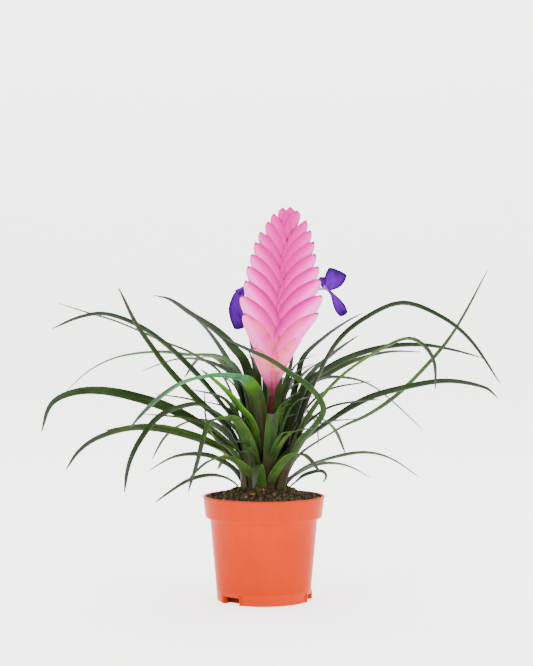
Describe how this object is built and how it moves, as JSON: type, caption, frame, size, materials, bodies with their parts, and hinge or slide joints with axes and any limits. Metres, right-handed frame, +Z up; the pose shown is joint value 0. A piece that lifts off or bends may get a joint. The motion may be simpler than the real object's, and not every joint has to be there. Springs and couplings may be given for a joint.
{
  "type": "pink quill plant in pot",
  "caption": "Potted bromeliad: a rosette of long, arching grass-like leaves round a flat pink quill of folded bracts with violet flowers, in a round plastic nursery pot",
  "frame": {"origin": "middle of the pot's flat underside, on the surface it rests on", "axes": "+Z up, the flat quill faces -Y, +X to the right as seen from the front"},
  "size_m": [0.3364, 0.2621, 0.2904],
  "materials": {
    "pot": "orange injection moulded plastic, slightly glossy",
    "soil": "dark crumbly peat",
    "rootstock": "rough brown stem base",
    "scape": "dark red stem",
    "bract": "waxy pink bracts, paler along the lower edge",
    "petal": "soft violet petals",
    "leaf": "leathery green leaves with grey-brown tips"
  },
  "bodies": {
    "root": {"flower_left": "petal", "flower_right": "petal", "leaf_back_01": "leaf", "leaf_back_02": "leaf", "leaf_back_03": "leaf", "leaf_back_04": "leaf", "leaf_back_05": "leaf", "leaf_back_06": "leaf", "leaf_back_07": "leaf", "leaf_back_08": "leaf", "leaf_back_09": "leaf", "leaf_front_01": "leaf", "leaf_front_02": "leaf", "leaf_front_03": "leaf", "leaf_front_04": "leaf", "leaf_front_05": "leaf", "leaf_front_06": "leaf", "leaf_left_01": "leaf", "leaf_left_02": "leaf", "leaf_left_03": "leaf", "leaf_left_04": "leaf", "leaf_left_05": "leaf", "leaf_left_06": "leaf", "leaf_left_07": "leaf", "leaf_left_08": "leaf", "leaf_left_09": "leaf", "leaf_left_10": "leaf", "leaf_left_11": "leaf", "leaf_left_12": "leaf", "leaf_left_13": "leaf", "leaf_left_14": "leaf", "leaf_left_15": "leaf", "leaf_left_16": "leaf", "leaf_left_17": "leaf", "leaf_right_01": "leaf", "leaf_right_02": "leaf", "leaf_right_03": "leaf", "leaf_right_04": "leaf", "leaf_right_05": "leaf", "leaf_right_06": "leaf", "leaf_right_07": "leaf", "leaf_right_08": "leaf", "leaf_right_09": "leaf", "leaf_right_10": "leaf", "leaf_right_11": "leaf", "leaf_right_12": "leaf", "leaf_right_13": "leaf", "leaf_right_14": "leaf", "leaf_right_15": "leaf", "leaf_right_16": "leaf", "nursery_pot": "pot", "potting_soil": "soil", "quill": "bract", "rootstock": "rootstock", "scape": "scape"}
  },
  "joints": []
}
